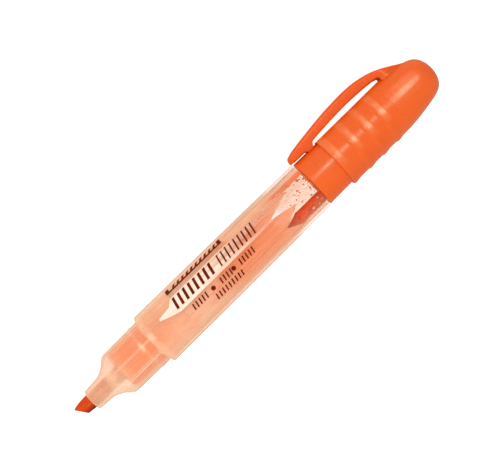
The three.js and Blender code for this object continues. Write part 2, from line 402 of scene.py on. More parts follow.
class Look:
    """A node material on one Principled shader, built from a few kinds of pattern."""

    def __init__(self, name, specular):
        self.material = bpy.data.materials.new(name)
        self.material.use_nodes = True
        self.nodes = self.material.node_tree.nodes
        self.links = self.material.node_tree.links
        self.shader = self.nodes["Principled BSDF"]
        self.shader.inputs["Specular IOR Level"].default_value = specular
        self.coordinates = self.nodes.new("ShaderNodeTexCoord").outputs["Object"]

    def noise(self, size, stretch=1.0, detail=2.0):
        """Noise whose features are size mm across, and stretch times as long along the pen."""
        mapping = self.nodes.new("ShaderNodeMapping")
        scale = 1 / (size * MM)
        mapping.inputs["Scale"].default_value = (scale / stretch, scale, scale)
        self.links.new(self.coordinates, mapping.inputs["Vector"])
        noise = self.nodes.new("ShaderNodeTexNoise")
        noise.inputs["Scale"].default_value = 1.0
        noise.inputs["Detail"].default_value = detail
        self.links.new(mapping.outputs["Vector"], noise.inputs["Vector"])
        return noise.outputs["Fac"]

    def spread(self, pattern, low, high, start=0.35, end=0.65):
        """Spreads a pattern's values from start to end over low to high."""
        node = self.nodes.new("ShaderNodeMapRange")
        node.interpolation_type = "SMOOTHSTEP"
        node.inputs["From Min"].default_value = start
        node.inputs["From Max"].default_value = end
        node.inputs["To Min"].default_value = low
        node.inputs["To Max"].default_value = high
        self.links.new(pattern, node.inputs["Value"])
        return node.outputs["Result"]

    def ramp(self, position, zero, start, end):
        """From 0 at start to 1 at end, in mm from where a position is zero metres."""
        low, high = sorted((start, end))
        turn = (0.0, 1.0) if start < end else (1.0, 0.0)
        return self.spread(position, *turn, zero + low * MM, zero + high * MM)

    def along(self, start, end):
        """From 0 at station start to 1 at station end."""
        split = self.nodes.new("ShaderNodeSeparateXYZ")
        self.links.new(self.coordinates, split.inputs["Vector"])
        return self.ramp(split.outputs["X"], ORIGIN.x, start, end)

    def towards_clip(self, start, end):
        """From 0 at height start above the axis, towards the clip, to 1 at height end."""
        dot = self.nodes.new("ShaderNodeVectorMath")
        dot.operation = "DOT_PRODUCT"
        self.links.new(self.coordinates, dot.inputs[0])
        dot.inputs[1].default_value = CLIPWARD
        return self.ramp(dot.outputs["Value"], ORIGIN.dot(CLIPWARD), start, end)

    def maths(self, operation, first, second):
        node = self.nodes.new("ShaderNodeMath")
        node.operation = operation
        for socket, value in zip(node.inputs, (first, second)):
            if isinstance(value, (int, float)):
                socket.default_value = value
            else:
                self.links.new(value, socket)
        return node.outputs["Value"]

    def product(self, first, *others):
        for other in others:
            first = self.maths("MULTIPLY", first, other)
        return first

    def rest(self, share):
        """What a share leaves of 1."""
        return self.maths("SUBTRACT", 1.0, share)

    def blend_colours(self, share, first, second):
        node = self.nodes.new("ShaderNodeMix")
        node.data_type = "RGBA"
        self.links.new(share, node.inputs["Factor"])
        for socket, value in ((node.inputs[MIX_FIRST], first), (node.inputs[MIX_SECOND], second)):
            if isinstance(value, tuple):
                socket.default_value = linear(value)
            else:
                self.links.new(value, socket)
        return node.outputs[MIX_RESULT]

    def drive(self, socket, output):
        self.links.new(output, self.shader.inputs[socket])

    def bump(self, height, depth):
        """Bumps the surface by a pattern that is depth mm from its low to its high."""
        node = self.nodes.new("ShaderNodeBump")
        node.inputs["Strength"].default_value = 1.0
        node.inputs["Distance"].default_value = depth * MM
        self.links.new(height, node.inputs["Height"])
        self.drive("Normal", node.outputs["Normal"])

    def clouded(self, first, second, size, stretch=1.0, detail=2.0):
        """Two colours in clouds of noise."""
        return self.blend_colours(self.spread(self.noise(size, stretch, detail), 0, 1), first, second)

    def finish(self, colour, grain, rough, relief, depth):
        """Sets the colour, the roughness, which follows a grain, and the bump, and ends the look."""
        self.drive("Base Color", colour)
        self.drive("Roughness", self.spread(grain, *rough))
        self.bump(relief, depth)
        return self.material


def painted_rib_highlights(look):
    """Painted highlights on the cap: how strongly pale bands are painted behind its rim and ribs, weaker
    away from the clip.
    """
    bands = [(CAP_MOUTH - 0.2, CAP_MOUTH + 3.2)]
    bands += [(crest - 0.6, crest + 2.3) for crest in RIB_CRESTS]
    share = 0.0
    for start, end in bands:
        band = look.product(look.along(start, start + 0.9), look.along(end, end - 0.9))
        share = look.maths("ADD", share, band)
    patches = look.spread(look.noise(2, detail=4), 0.35, 0.75)
    return look.product(share, patches, look.towards_clip(-4.5, 0.5))


def orange_plastic(name, dark, light, specular, painted_highlights=False, glow=0.0):
    """Glossy orange, with pale highlight bands painted on its rim and ribs when asked. glow is how much
    light scatters inside it.
    """
    look = Look(name, specular)
    colour = look.clouded(dark, light, 9, stretch=4)
    # Painted highlight: pale bands on the cap's rim and ribs.
    if painted_highlights:
        colour = look.blend_colours(painted_rib_highlights(look), colour, (243, 122, 66))
    if glow:
        look.shader.inputs["Subsurface Weight"].default_value = glow
        look.shader.inputs["Subsurface Scale"].default_value = 2 * MM
    return look.finish(colour, look.noise(0.9, detail=4), (0.23, 0.29), look.noise(0.5, detail=3), 0.003)


def cap_plastic():
    return orange_plastic("cap_orange_plastic", (237, 93, 16), (241, 98, 20), 0.5, painted_highlights=True)


def post_plastic():
    return orange_plastic("post_orange_plastic", (237, 93, 16), (241, 98, 20), 0.5)


def clip_plastic():
    # The same plastic as the cap in a darker copy of its colour: painted shade.
    return orange_plastic("clip_orange_plastic", (234, 87, 12), (238, 91, 16), 0.25, glow=0.35)


# A frosted stretch of clear plastic or a painted highlight: the stations that it rises and falls
# between and, for one that is a streak, the heights above the axis that it rises and falls between.
FrostOrPaintedHighlight = namedtuple("FrostOrPaintedHighlight", "amount rise fall low high", defaults=(None, None))


def wall_cover(look, facing, edge, fade, thin):
    """How much a clear wall covers what is behind it, in lengthwise streaks."""
    slant = look.nodes.new("ShaderNodeLayerWeight")
    slant.inputs["Blend"].default_value = 0.5
    by_slant = look.spread(slant.outputs["Facing"], facing, edge, 0.0, 1.0)
    cover = look.product(by_slant, look.spread(look.noise(1.6, stretch=25, detail=3), 0.75, 1.25))
    if fade:
        cover = look.product(cover, look.along(*fade))
    if thin:
        cover = look.product(cover, look.rest(look.product(look.along(*thin), 0.5)))
    return cover


def frost_and_highlight_clearness(look, frosts_and_painted_highlights):
    """How much light a clear wall's frosted stretches and painted highlights still let through."""
    clouds = look.spread(look.noise(3, stretch=2, detail=3), 0.8, 1.2)
    clearness = 1.0
    for pale_stretch in frosts_and_painted_highlights:
        stretch = look.product(look.along(*pale_stretch.rise), look.along(*pale_stretch.fall))
        if pale_stretch.low:
            stretch = look.product(stretch, look.towards_clip(*pale_stretch.low), look.towards_clip(*pale_stretch.high))
        clearness = look.product(clearness, look.rest(look.product(stretch, clouds, pale_stretch.amount)))
    return clearness


def clear_plastic(name, tint, deep, pale, cover, rough, frosts_and_painted_highlights, fade=None, thin=None):
    """Tinted see-through plastic, pale where it is frosted and where highlights are painted on. cover
    is how much it covers where it is met square and where it is met at a slant. fade is two stations
    that the cover thins out between, and thin two stations that it comes down to half between."""
    look = Look(name, 0.35)
    colour = look.clouded(tint, deep, 6, stretch=6, detail=3)
    clearness = frost_and_highlight_clearness(look, frosts_and_painted_highlights)
    clear = look.product(look.rest(wall_cover(look, *cover, fade, thin)), clearness)
    frost_and_painted_highlight = look.spread(look.rest(clearness), 0, 1, 0.0, 0.4)
    colour = look.blend_colours(frost_and_painted_highlight, colour, pale)
    look.drive("Alpha", look.rest(clear))
    return look.finish(colour, look.noise(0.8, detail=3), rough, look.noise(1.6, stretch=2), 0.004)


def barrel_plastic():
    # A pale ring on the barrel's front edge: painted highlight.
    mouth = FrostOrPaintedHighlight(0.28, (32.8, 32.9), (35.8, 34.0))
    # A painted highlight spot on the front edge.
    painted_mouth_highlight = FrostOrPaintedHighlight(0.4, (32.8, 33.1), (35.4, 33.8), (-0.4, 0.6), (2.7, 1.7))
    upper_streak = FrostOrPaintedHighlight(0.25, (66, 74), (90, 84), (4.8, 5.8), (7.6, 6.8))
    tail_streak = FrostOrPaintedHighlight(0.25, (84, 90), (100.8, 100.3), (5.9, 6.4), (7.6, 6.9))
    return clear_plastic(
        "barrel_clear_peach", (255, 194, 152), (255, 206, 168), (255, 210, 178),
        cover=(0.05, 0.75), rough=(0.1, 0.18), frosts_and_painted_highlights=[mouth, painted_mouth_highlight, upper_streak, tail_streak],
        fade=(100.83, 100.35), thin=(84, 91),
    )


def section_plastic():
    holder = FrostOrPaintedHighlight(0.22, (0, 1), (22.5, 16))
    cone = FrostOrPaintedHighlight(0.24, (13, 16.5), (22, 17))
    # A pale ring on the snap bead: painted highlight.
    bead = FrostOrPaintedHighlight(0.14, (BEAD - 1.1, BEAD), (BEAD + 1.2, BEAD + 0.1))
    # A painted highlight spot on the bead.
    painted_bead_highlight = FrostOrPaintedHighlight(0.55, (BEAD - 1.1, BEAD - 0.1), (BEAD + 1.1, BEAD + 0.1), (-0.8, 0.6), (3.0, 1.6))
    # A painted highlight line along the section.
    painted_highlight_line = FrostOrPaintedHighlight(0.25, (17, 19), (32.8, 32), (0.6, 0.95), (1.7, 1.35))
    spigot = FrostOrPaintedHighlight(0.3, (31.5, 33.5), (46.1, 45.7))
    return clear_plastic(
        "section_clear_peach", (255, 188, 148), (255, 200, 162), (255, 206, 172),
        cover=(0.22, 0.8), rough=(0.16, 0.26), frosts_and_painted_highlights=[holder, cone, bead, painted_bead_highlight, painted_highlight_line, spigot],
        fade=(46.1, 45.7),
    )


def film_plastic():
    front = FrostOrPaintedHighlight(0.35, (45, 45.2), (74, 50))
    return clear_plastic(
        "film_peach", (252, 160, 110), (255, 174, 128), (254, 212, 184),
        cover=(0.5, 0.65), rough=(0.25, 0.35), frosts_and_painted_highlights=[front],
    )


def fibre(name, dark, light, strand, depth, painted_shade, pale_end=None):
    """Bonded fibre: strands along the pen, darker where more ink sits. The side away from the clip is
    painted darker as shade: its colour and the two heights that it gives way between are given.
    pale_end is the front end's colour and the two stations that it gives way between."""
    look = Look(name, 0.2)
    strands = look.noise(strand, stretch=14, detail=5)
    clouds = look.spread(look.noise(3.5, stretch=2, detail=2), 0.55, 1)
    share = look.product(look.spread(strands, 0.2, 1), clouds)
    colour = look.blend_colours(share, dark, light)
    if pale_end:
        colour = look.blend_colours(look.along(*pale_end[1:]), pale_end[0], colour)
    # Painted shade on the side away from the clip.
    colour = look.blend_colours(look.towards_clip(*painted_shade[1:]), painted_shade[0], colour)
    return look.finish(colour, strands, (0.65, 0.9), strands, depth)


def nib_fibre():
    # Painted shade: the nib's side away from the clip is darker.
    painted_shade = ((112, 32, 4), -2.4, -0.1)
    return fibre("nib_wet_fibre", (186, 56, 6), (222, 76, 16), strand=0.35, depth=0.05, painted_shade=painted_shade)


def rod_fibre():
    # Painted shadow of the breather tube on the rod, in a strip below the tube.
    painted_shade = ((234, 104, 50), -5.4, -4.2)
    pale_end = ((250, 184, 146), 19.4, 23.5)
    dark, light = (240, 124, 72), (250, 164, 112)
    return fibre("rod_wet_fibre", dark, light, strand=0.6, depth=0.06, painted_shade=painted_shade, pale_end=pale_end)


def tube_plastic():
    """Natural plastic with a thread of ink that shows through its middle."""
    look = Look("breather_natural", 0.5)
    wall = look.clouded((255, 236, 214), (255, 244, 230), 2, stretch=6)
    middle = TUBE_OFFSET * math.sin(TUBE_ANGLE) - 0.1
    low_side = look.towards_clip(middle - 0.26, middle - 0.1)
    high_side = look.towards_clip(middle + 0.26, middle + 0.1)
    thread = look.product(low_side, high_side)
    colour = look.blend_colours(thread, wall, (248, 150, 100))
    return look.finish(colour, look.noise(0.6), (0.2, 0.35), look.noise(0.5, stretch=5), 0.004)


def liner_plastic():
    look = Look("liner_natural", 0.4)
    colour = look.clouded((238, 230, 222), (246, 241, 235), 5)
    return look.finish(colour, look.noise(0.9, detail=3), (0.38, 0.52), look.noise(0.7, detail=3), 0.006)


def print_ink():
    look = Look("print_dark", 0.08)
    colour = look.clouded((94, 14, 0), (122, 28, 0), 0.9, detail=4)
    return look.finish(colour, look.noise(0.4, detail=3), (0.6, 0.8), look.noise(0.25, detail=3), 0.004)


def pale_print():
    """Pale print under the marks. It thins out towards the tail in lengthwise streaks."""
    look = Look("print_pale", 0.35)
    colour = look.clouded((254, 228, 208), (255, 236, 220), 2, stretch=5)
    streaks = look.spread(look.noise(0.9, stretch=22, detail=3), -0.16, 0.16)
    ragged = look.maths("ADD", look.along(44, 88), streaks)
    look.drive("Alpha", look.spread(ragged, 0.93, 0.05, 0.0, 1.0))
    return look.finish(colour, look.noise(0.5, detail=3), (0.35, 0.5), look.noise(0.4), 0.003)


def wet_ink(name, dark, light, cover, fade=None, pool=None):
    """Ink left wet on the inside of the barrel, thinner here and there. fade is two stations that
    it comes in between, and pool the colour of its front end, where it gathers, and the two
    stations that this gives way between."""
    look = Look(name, 0.2)
    pools = look.noise(2.2, stretch=2.5, detail=3)
    colour = look.blend_colours(look.spread(pools, 0, 1), dark, light)
    if pool:
        colour = look.blend_colours(look.along(*pool[1:]), pool[0], colour)
    thickness = look.spread(pools, *cover)
    if fade:
        thickness = look.product(thickness, look.along(*fade))
    look.drive("Alpha", thickness)
    return look.finish(colour, look.noise(0.7), (0.1, 0.25), pools, 0.02)


def deep_ink():
    pool = ((172, 50, 0), 86, 93)
    return wet_ink("ink_deep", (186, 42, 0), (232, 66, 0), (0.93, 0.99), pool=pool)


def thin_ink():
    return wet_ink("ink_thin", (246, 104, 44), (252, 136, 80), (0.5, 0.85))


def veil_ink():
    return wet_ink("ink_residue", (252, 184, 140), (253, 198, 158), (0.16, 0.3), fade=(85, 90))


def drop_ink():
    return wet_ink("ink_drops", (178, 84, 40), (206, 112, 66), (0.6, 0.9))


def bubble_ink():
    return wet_ink("ink_bubble_light", (252, 190, 150), (250, 168, 120), (0.8, 0.9))


def floor_paint():
    """White paper. It glows a little for the camera, so that it stays white in shade, and lights
    the pen from below."""
    look = Look("floor_pale", 0.1)
    look.shader.inputs["Roughness"].default_value = 0.85
    look.shader.inputs["Emission Color"].default_value = (1, 0.98, 0.96, 1)
    look.drive("Base Color", look.clouded((160, 160, 160), (166, 166, 166), 60))
    ray = look.nodes.new("ShaderNodeLightPath")
    seen = look.spread(ray.outputs["Is Camera Ray"], 0.0, 0.94, 0, 1)
    cast = look.spread(ray.outputs["Is Diffuse Ray"], 0.0, 0.62, 0, 1)
    look.drive("Emission Strength", look.maths("ADD", seen, cast))
    return look.material


# Pen body


def barrel_mesh():
    return turned(rounded([
        (BARREL_FRONT, BARREL_FRONT_RADIUS, 0.4),
        (BARREL_REAR, BARREL_REAR_RADIUS, 0.12),
        (BARREL_REAR, BARREL_REAR_RADIUS - BARREL_WALL, 0.1),
        (BARREL_FRONT, BARREL_FRONT_RADIUS - BARREL_WALL, 0.15),
    ]))


def front_section_mesh():
    """Nib holder, cone, section with its snap bead, and a spigot that thins out inside the barrel."""
    holder = [(HOLDER_FRONT, 3.0), (HOLDER_FRONT, 3.55, 0.22), (12.0, 4.0, 2.0)]
    cone = [(13.4, 4.5, 2.2), (15.1, 5.5, 2.5), (17.3, 7.4, 0.9), (18.4, 7.7, 0.8)]
    bead = [
        (BEAD - 0.9, SECTION_RADIUS - 0.03),
        (BEAD - 0.4, SECTION_RADIUS + 0.06, 0.3),
        (BEAD, SECTION_RADIUS + 0.16, 0.25),
        (BEAD + 0.4, SECTION_RADIUS + 0.08, 0.3),
        (BEAD + 1, SECTION_RADIUS),
    ]
    spigot = [
        (BARREL_FRONT - 0.6, SECTION_RADIUS, 0.3),
        (BARREL_FRONT + 0.1, SPIGOT_RADIUS, 0.1),
        (SPIGOT_REAR, SPIGOT_RADIUS),
        (SPIGOT_REAR, SPIGOT_RADIUS - 0.1),
    ]
    bore = [
        (SPIGOT_REAR - 8, SECTION_BORE, 5.0),
        (SECTION_BORE_FRONT, SECTION_BORE, 0.3),
        (SECTION_BORE_FRONT, 4.2),
    ]
    loops = [circle(u, radius) for u, radius in rounded([*holder, *cone, *bead, *spigot, *bore])]
    half_height = NIB_HALF_HEIGHT + NIB_GAP
    half_depth = NIB_HALF_DEPTH + NIB_GAP
    flare = 0.12  # how much wider the channel is where it opens
    loops.append(bar_loop(SECTION_BORE_FRONT, half_height, half_depth, NIB_CORNER))
    loops.append(bar_loop(HOLDER_FRONT + 0.2, half_height, half_depth, NIB_CORNER))
    loops.append(bar_loop(HOLDER_FRONT, half_height + flare, half_depth + flare, NIB_CORNER + 0.03))
    return loft(loops, True)


def wedge_loop(back):
    """A cross-section of the nib's wedge, parallel to its writing edge and back mm behind it."""
    share = min(back / 4.6, 1)
    top = EDGE_HIGH[1] + (NIB_HALF_HEIGHT - EDGE_HIGH[1]) * (1 - (1 - share) ** 2)
    low = EDGE_LOW[1] - (NIB_HALF_HEIGHT + 0.12 + EDGE_LOW[1]) * share
    inset = 0.16 * max(0, 1 - back / 0.2)  # rounds the writing edge off
    half_height = (top - low) / 2 - inset
    half_depth = EDGE_HALF_DEPTH + (NIB_HALF_DEPTH - EDGE_HALF_DEPTH) * min(back / 4.9, 1) - inset
    corner = min(0.28 + 0.6 * share, half_depth - 0.02)
    lean = EDGE_LOW[0] * (2 * half_height) / (EDGE_HIGH[1] - EDGE_LOW[1])
    middle = (top + low) / 2
    return [(u, y + middle, z) for u, y, z in bar_loop(back, half_height, half_depth, corner, lean)]


def nib_mesh():
    """A fibre bar whose front is cut to a wedge along a slanted writing edge."""
    count = 14
    loops = [wedge_loop(0.06 + 5.4 * (step / count) ** 1.5) for step in range(count + 1)]
    loops.append(bar_loop(10.5, NIB_HALF_HEIGHT, NIB_HALF_DEPTH, NIB_CORNER))
    loops.append(bar_loop(NIB_REAR - 0.2, NIB_HALF_HEIGHT, NIB_HALF_DEPTH, NIB_CORNER))
    loops.append(bar_loop(NIB_REAR, NIB_HALF_HEIGHT - 0.2, NIB_HALF_DEPTH - 0.2, NIB_CORNER - 0.12))
    u, y, z = centre_of(loops[0])
    return loft([[(u - 0.03, y, z)], *loops, [(NIB_REAR, 0, 0)]], False)


def core_loop(u, radius):
    """A loop round the fibre rod, drawn in where the breather tube lies in its channel."""
    loop = []
    for k in range(SIDES):
        angle = WHOLE * k / SIDES
        away = abs((angle - TUBE_ANGLE + math.pi) % WHOLE - math.pi)
        depth = 1.4 * max(0, 1 - (away / 0.14) ** 2)
        at = min(radius, CORE_RADIUS - depth)
        loop.append(polar(u, at, angle))
    return loop


def core_mesh():
    edge = [(0.05, 4), (0.1, 6.1), (0.25, 6.4), (0.5, CORE_RADIUS)]  # distance from the end, radius
    front = [core_loop(CORE_FRONT + inset, radius) for inset, radius in edge]
    rear = [core_loop(CORE_REAR - inset, radius) for inset, radius in reversed(edge)]
    return loft([[(CORE_FRONT, 0, 0)], *front, *rear, [(CORE_REAR, 0, 0)]], False)


def film_cut_edge():
    """The film's rear edge as turns in degrees and stations, with straight cuts from tip to tip."""
    corners = []
    for valley, station, tip in FILM_CUT:
        corners += [(valley, station), (tip, FILM_TIP)]
    corners.append((FILM_CUT[0][0] + 360, FILM_CUT[0][1]))
    steps = 8
    edge = []
    for (from_turn, from_u), (to_turn, to_u) in zip(corners, corners[1:]):
        for step in range(steps):
            share = step / steps
            edge.append((from_turn + (to_turn - from_turn) * share, from_u + (to_u - from_u) * share))
    return edge


def film_mesh():
    """A thin sleeve whose rear edge is cut by hand into uneven teeth."""
    edge = film_cut_edge()
    plain = FILM_PLAIN_REAR - FILM_FRONT
    rows = [[FILM_FRONT + plain * share] * len(edge) for share in (0, 0.022, 0.556, 1)]
    rows.append([u for _, u in edge])
    skins = []
    for radius in (FILM_RADIUS, FILM_RADIUS - FILM_WALL):
        skin = []
        for row in rows:
            angles = [math.radians(turn) for turn, _ in edge]
            skin.append([polar(u, radius, angle) for u, angle in zip(row, angles)])
        skins.append(skin)
    outer, inner = skins
    return loft([*outer, *reversed(inner)], True)


def tube_mesh():
    y = TUBE_OFFSET * math.sin(TUBE_ANGLE)
    z = TUBE_OFFSET * math.cos(TUBE_ANGLE)
    outline = rounded([
        (TUBE_FRONT, TUBE_RADIUS, 0.1), (TUBE_REAR, TUBE_RADIUS, 0.1),
        (TUBE_REAR, TUBE_BORE, 0.05), (TUBE_FRONT, TUBE_BORE, 0.05),
    ], steps=3)
    return loft([circle(u, radius, 32, y, z) for u, radius in outline], True)


def tail_plug_mesh():
    """The post that the cap is pushed onto, hollow towards the barrel."""
    lip_radius = 7.74  # just inside the barrel's bore
    lip_rear = POST_FRONT + 0.1
    return turned(rounded([
        (POST_REAR - 1.1, 0), (POST_REAR - 1.1, POST_BORE - 0.1, 0.5), (102.5, POST_BORE),
        (lip_rear, POST_BORE + 0.2), (lip_rear, lip_radius, 0.1), (POST_FRONT, lip_radius),
        (POST_FRONT, POST_FRONT_RADIUS, 0.15), (POST_REAR, POST_REAR_RADIUS, 1.0), (POST_REAR, 0),
    ]))


# Cap


def rib_lift(u):
    """How far the ribs stand out. They rise faster on the mouth's side than they fall."""
    lift = 0
    for crest in RIB_CRESTS:
        lift += RIB_HEIGHT * slope((u - crest + 1.4) / 1.1) * smooth((crest + 2.3 - u) / 2.4)
    return lift


def rim_lift(u):
    return (RIM_RADIUS - CAP_RADIUS) * smooth((CAP_MOUTH + 3.2 - u) / 2.5)


def flattened(loop, flat):
    return [(u, min(y, flat), z) for u, y, z in loop]


def cap_shell_mesh():
    """The cap. Its ribs die out under the clip, where it is flat."""
    dome = dome_curve()
    plain_radius = reading([(CAP_MOUTH, CAP_RADIUS), *dome])
    lip = CAP_MOUTH + 0.6
    inside = [(u - 0.65, radius - CAP_WALL) for u, radius in dome if radius > CAP_WALL + 0.2]
    mouth = rounded([
        (131.7, 7.75), (131.3, CAP_BORE - 0.08, 0.2), (CAP_MOUTH, CAP_BORE, 0.12),
        (CAP_MOUTH, RIM_RADIUS, 0.5), (lip, RIM_RADIUS),
    ])
    outline = [(inside[-1][0] + 0.1, 0), *reversed(inside), *mouth[1:]]
    loops = [flattened(circle(u, radius), CLIP_FLAT) for u, radius in outline]
    ribbed = DOME[0][0] - lip
    count = round(ribbed / 0.2)
    for step in range(1, count):
        u = lip + ribbed * step / count
        loop = []
        for k in range(SIDES):
            angle = WHOLE * k / SIDES
            from_clip = abs((math.degrees(angle) - 90 + 180) % 360 - 180)
            radius = plain_radius(u) + rim_lift(u) + rib_lift(u) * smooth((from_clip - 14) / 16)
            loop.append(polar(u, radius, angle))
        loops.append(flattened(loop, CLIP_FLAT))
    for u, radius in dome:
        loops.append(flattened(circle(u, radius), CLIP_FLAT + 2 * max(0, u - SLIT_REAR)))
    return loft(loops, False)


def liner_mesh():
    """The cup that seals the nib, with a flange at its mouth."""
    floor = LINER_REAR - 0.8
    flange_rear = LINER_MOUTH + 1.2
    return turned(rounded([
        (floor, 0), (floor, LINER_BORE, 0.8), (LINER_MOUTH + 1.4, LINER_BORE),
        (LINER_MOUTH, LINER_BORE + 1, 0.1), (LINER_MOUTH, LINER_FLANGE, 0.15),
        (flange_rear, LINER_FLANGE, 0.15), (flange_rear + 0.1, LINER_RADIUS + 0.1, 0.3),
        (LINER_REAR, LINER_RADIUS, 0.6), (LINER_REAR, 0),
    ]))


# Clip. Half of a cross-section is a list of (z, y), from the clip's middle plane out and up.


def bend(z, y, reach, rise, start, end):
    """An arc round (z, y) of an ellipse that is reach wide and rise high on each side."""
    angles = [start + (end - start) * k / 6 for k in range(7)]
    return [(z + reach * math.cos(angle), y + rise * math.sin(angle)) for angle in angles]


def free_side(top, under, half, saddle):
    """The underside of a free stretch and its lower corner, and the height that this ends at.
    saddle is how far the underside is hollowed to the post, from 0 to 1."""
    corner = min(0.45, 0.45 * (top - under))
    flat = half - corner
    side = [(flat * k / 5, under) for k in range(5)]
    side += bend(flat, under + corner, corner, corner, -QUARTER, 0)
    hollowed = []
    for z, y in side:
        rise = SADDLE_RADIUS - math.sqrt(SADDLE_RADIUS ** 2 - z * z)
        hollowed.append((z, y - saddle * rise))
    return hollowed, under + corner


def rooted_side(u, top, cap_radius, half):
    """The fillet between the clip and the cap, from inside the cap's wall, and the height that it
    ends at."""
    fillet = min(0.15 + 0.45 * (u - SLIT_REAR), 1.7, max(0.12, 0.7 * (top - cap_radius)))
    centre_z = half + fillet
    centre_y = math.sqrt((cap_radius + fillet) ** 2 - centre_z ** 2)
    landing = math.atan2(centre_z, centre_y)
    sunk = cap_radius - 0.5
    side = [(sunk * math.sin(landing * k / 4), sunk * math.cos(landing * k / 4)) for k in range(5)]
    start = math.pi + math.atan2(centre_y, centre_z)  # from the fillet's centre down to the axis
    return side + bend(centre_z, centre_y, fillet, fillet, start, math.pi), centre_y


def clip_loop(u, top, half, edge, side, flank_low):
    """A whole cross-section, from the half of its lower part and the height that this ends at."""
    flank_high = max(top - CLIP_CROWN - edge, flank_low)
    side = [*side, *[(half, flank_low + (flank_high - flank_low) * k / 4) for k in range(1, 4)]]
    flat = half - edge
    side += bend(flat, flank_high, edge, top - CLIP_CROWN - flank_high, 0, QUARTER)
    for k in range(1, 6):
        z = flat * (1 - k / 6)
        side.append((z, top - CLIP_CROWN * (z / flat) ** 2))
    whole = [*side, (0, top), *[(-z, y) for z, y in reversed(side[1:])]]
    return [(u, y, z) for z, y in whole]


def free_loop(u, top, under, half, saddle=0.0):
    edge = min(CLIP_EDGE, 0.48 * (top - under))
    return clip_loop(u, top, half, edge, *free_side(top, under, half, saddle))


def rooted_loop(u, top, cap_radius, half):
    edge = min(CLIP_EDGE, max(0.1, 0.5 * (top - cap_radius)))
    return clip_loop(u, top, half, edge, *rooted_side(u, top, cap_radius, half))


def clip_half_width(u):
    """The clip widens from its free end to its root, then narrows on the dome."""
    if u < CLIP_ROOT:
        share = (u - 100.3) / 38.9
        return (CLIP_TIP_WIDTH + (CLIP_WIDTH - CLIP_TIP_WIDTH) * share) / 2
    return (CLIP_WIDTH - (CLIP_WIDTH - CLIP_END_WIDTH) * smooth((u - CLIP_ROOT) / 8.4)) / 2


def nose_loops(top):
    """The blunt free end, with its upper corner well rounded and its lower one slightly."""
    count = 14
    loops = []
    for k in range(1, count):
        back = CLIP_NOSE * (1 - math.cos(QUARTER * k / count))
        u = CLIP_FREE + back
        drawn_in = round_off(back, CLIP_NOSE)
        high = top(CLIP_FREE + CLIP_NOSE) - 1.35 * drawn_in
        low = CLIP_UNDER[0][1] + 0.35 * round_off(back, 0.4)
        loops.append(free_loop(u, high, low, clip_half_width(u) - drawn_in))
    return loops


def clip_mesh():
    top = reading(spline(CLIP_TOP))
    under = reading(spline(CLIP_UNDER, steps=4))
    cap_radius = reading([(CAP_MOUTH, CAP_RADIUS), *dome_curve()])
    loops = nose_loops(top)
    for u in [*stations(CLIP_FREE + CLIP_NOSE, SLIT_REAR, 111, 0.35, 0.9), SLIT_REAR]:
        saddle = smooth((u - 106.2) / 0.8) * smooth((109.6 - u) / 0.8)
        loops.append(free_loop(u, top(u), under(u), clip_half_width(u), saddle))
    for u in stations(SLIT_REAR + 0.12, CLIP_REAR, SLIT_REAR + 1, 0.12, 0.4):
        loops.append(rooted_loop(u, top(u), cap_radius(u), clip_half_width(u)))
    free_end = (CLIP_FREE, centre_of(loops[0])[1], 0)
    u, y, _ = centre_of(loops[-1])
    return loft([[free_end], *loops, [(u + 0.1, y, 0)]], False)


# Print on the barrel


def barrel_radius(u):
    share = (u - BARREL_FRONT) / (BARREL_REAR - BARREL_FRONT)
    return BARREL_FRONT_RADIUS + (BARREL_REAR_RADIUS - BARREL_FRONT_RADIUS) * share


def patch(corners, lifts, radius, columns, rows):
    """A thin closed patch that follows a round surface. corners are four (u, arc) in mm, where
    arc is the way round from the side that faces z, towards the clip."""
    a, b, c, d = corners
    layers = []
    for lift in lifts:
        layer = []
        for row in range(rows + 1):
            for column in range(columns + 1):
                s, t = column / columns, row / rows
                u = (a[0] * (1 - s) + b[0] * s) * (1 - t) + (d[0] * (1 - s) + c[0] * s) * t
                arc = (a[1] * (1 - s) + b[1] * s) * (1 - t) + (d[1] * (1 - s) + c[1] * s) * t
                layer.append(polar(u, radius(u) + lift, arc / radius(u)))
        layers.append(layer)
    size = len(layers[0])
    wide = columns + 1
    faces = []
    for row in range(rows):
        for column in range(columns):
            k = row * wide + column
            faces.append((k, k + 1, k + wide + 1, k + wide))
            faces.append((size + k, size + k + wide, size + k + wide + 1, size + k + 1))
    rim = [*range(wide)]
    rim += [row * wide + columns for row in range(1, rows + 1)]
    rim += [rows * wide + column for column in range(columns - 1, -1, -1)]
    rim += [row * wide for row in range(rows - 1, 0, -1)]
    for k, m in zip(rim, rim[1:] + rim[:1]):
        faces.append((k, m, size + m, size + k))
    return [*layers[0], *layers[1]], faces


def arc_of(u, y):
    """The way round the barrel, in mm, to a height y above the axis."""
    at = barrel_radius(u)
    return at * math.asin(y / at)


def printed(corners, lifts, columns, rows):
    """A patch of print whose four corners are (u, height above the axis)."""
    ways = [(u, arc_of(u, y)) for u, y in corners]
    return patch(ways, lifts, barrel_radius, columns, rows)


def block(u, length, heights, columns, rows):
    low, high = heights
    corners = [(u, low), (u + length, low), (u + length, high), (u, high)]
    return printed(corners, PRINT_LIFTS, columns, rows)


def stroke(u, heights, width, slant):
    """One slanted stroke of print."""
    low, high = [arc_of(u, y) for y in heights]
    lean = slant * (high - low)
    corners = [(u, low), (u + width, low), (u + width + lean, high), (u + lean, high)]
    return patch(corners, PRINT_LIFTS, barrel_radius, 2, 5)


def strokes(start, pitch, count, heights, width, slant=0.2):
    return [stroke(start + pitch * k, heights, width, slant) for k in range(count)]


